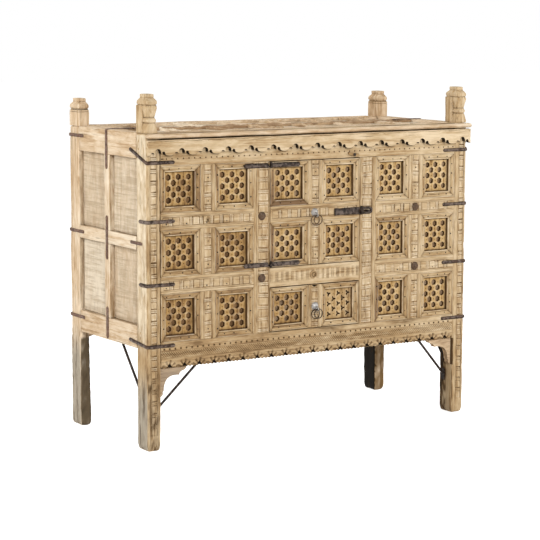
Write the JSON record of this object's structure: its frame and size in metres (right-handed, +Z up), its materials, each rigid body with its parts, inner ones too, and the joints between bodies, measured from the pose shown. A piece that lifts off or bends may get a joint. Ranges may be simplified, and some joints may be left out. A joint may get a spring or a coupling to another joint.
{
  "type": "dowry cabinet",
  "caption": "Dowry cabinet on post legs with carved framed lattice panels, a strap-hinged door with hasp, a drawer with ring pull, scalloped fascia and iron corner straps.",
  "frame": {"origin": "on the floor under the middle of the whole box, nosing and straps included", "axes": "+X to the right as the front is faced, +Y to the back, +Z up; the front faces -Y"},
  "size_m": [1.386, 0.621, 1.244],
  "materials": {
    "carved_wood": "bleached and worn",
    "moulding_wood": "bleached and worn",
    "lattice_wood": "bleached and worn",
    "panel_wood": "bleached and rough",
    "inner_wood": "plain and dark",
    "forged_iron": "hammered, dark",
    "worn_iron": "rubbed"
  },
  "bodies": {
    "carcass": {"front_left_post": "carved_wood", "front_right_post": "carved_wood", "back_left_post": "carved_wood", "back_right_post": "carved_wood", "apron_rail": "carved_wood", "front_top_rail": "carved_wood", "left_door_stile": "carved_wood", "right_door_stile": "carved_wood", "centre_rail": "carved_wood", "bay_rails": "carved_wood", "bay_muntins": "carved_wood", "scalloped_fascia": "carved_wood", "top_nosing": "carved_wood", "corner_brackets": "carved_wood", "centre_rosette": "carved_wood", "bay_mouldings": "moulding_wood", "bay_lattices": "lattice_wood", "side_rails": "panel_wood", "side_muntins": "panel_wood", "side_panels": "panel_wood", "back_rails": "panel_wood", "back_boards": "panel_wood", "top_long_rails": "panel_wood", "top_cross_bars": "panel_wood", "top_panels": "panel_wood", "bay_backing_boards": "inner_wood", "floor_boards": "inner_wood", "floor_bearers": "inner_wood", "drawer_case": "inner_wood", "front_corner_straps": "forged_iron", "back_corner_straps": "forged_iron", "side_straps": "forged_iron", "brace_rods": "forged_iron", "hinge_stile_leaves": "forged_iron", "hinge_pins": "forged_iron", "hasp_staple": "forged_iron", "turn_button_nail": "forged_iron", "dome_studs": "worn_iron"},
    "door": {"door_middle_rail": "carved_wood", "door_muntins": "carved_wood", "door_mouldings": "moulding_wood", "door_lattices": "lattice_wood", "door_planks": "inner_wood", "hinge_door_leaves": "forged_iron", "hasp_strap": "forged_iron", "hasp_pin": "forged_iron", "door_pull_boss": "worn_iron"},
    "hasp": {"hasp_leaf": "forged_iron"},
    "turn_button": {"turn_button": "carved_wood"},
    "door_front_ring": {"door_pull_front_ring": "worn_iron"},
    "door_back_ring": {"door_pull_back_ring": "worn_iron"},
    "drawer": {"drawer_front_board": "inner_wood", "drawer_muntin": "carved_wood", "drawer_mouldings": "moulding_wood", "drawer_lattices": "lattice_wood", "drawer_sides_and_back": "inner_wood", "drawer_bottom": "inner_wood", "drawer_pull_boss": "worn_iron"},
    "drawer_front_ring": {"drawer_pull_front_ring": "worn_iron"},
    "drawer_back_ring": {"drawer_pull_back_ring": "worn_iron"}
  },
  "joints": [
    {"name": "door_swing", "type": "hinge", "parent": "carcass", "child": "door", "pos_m": [-0.18775, -0.2898, 0.806], "axis": [0, 0, -1], "range_deg": [0, 115]},
    {"name": "drawer_slide", "type": "slide", "parent": "carcass", "child": "drawer", "axis": [0, -1, 0], "range_m": [0, 0.35]},
    {"name": "hasp_swing", "type": "hinge", "parent": "door", "child": "hasp", "pos_m": [0.203, -0.2898, 0.802], "axis": [0, 0, -1], "range_deg": [0, 150]},
    {"name": "turn_button_turn", "type": "hinge", "parent": "carcass", "child": "turn_button", "pos_m": [0.168, -0.29, 1.009], "axis": [0, 1, 0], "range_deg": [0, 78]},
    {"name": "door_front_ring_swing", "type": "hinge", "parent": "door", "child": "door_front_ring", "pos_m": [0.0015, -0.2985, 0.798], "axis": [-1, 0, 0], "range_deg": [0, 80]},
    {"name": "door_back_ring_swing", "type": "hinge", "parent": "door", "child": "door_back_ring", "pos_m": [0.0015, -0.2985, 0.798], "axis": [-1, 0, 0], "range_deg": [0, 80]},
    {"name": "drawer_front_ring_swing", "type": "hinge", "parent": "drawer", "child": "drawer_front_ring", "pos_m": [0.0055, -0.2985, 0.4555], "axis": [-1, 0, 0], "range_deg": [0, 80]},
    {"name": "drawer_back_ring_swing", "type": "hinge", "parent": "drawer", "child": "drawer_back_ring", "pos_m": [0.0055, -0.2985, 0.4555], "axis": [-1, 0, 0], "range_deg": [0, 80]}
  ],
  "couplings": [
    {"joint": "door_back_ring_swing", "follows": "door_front_ring_swing", "ratio": 1},
    {"joint": "drawer_back_ring_swing", "follows": "drawer_front_ring_swing", "ratio": 1}
  ]
}
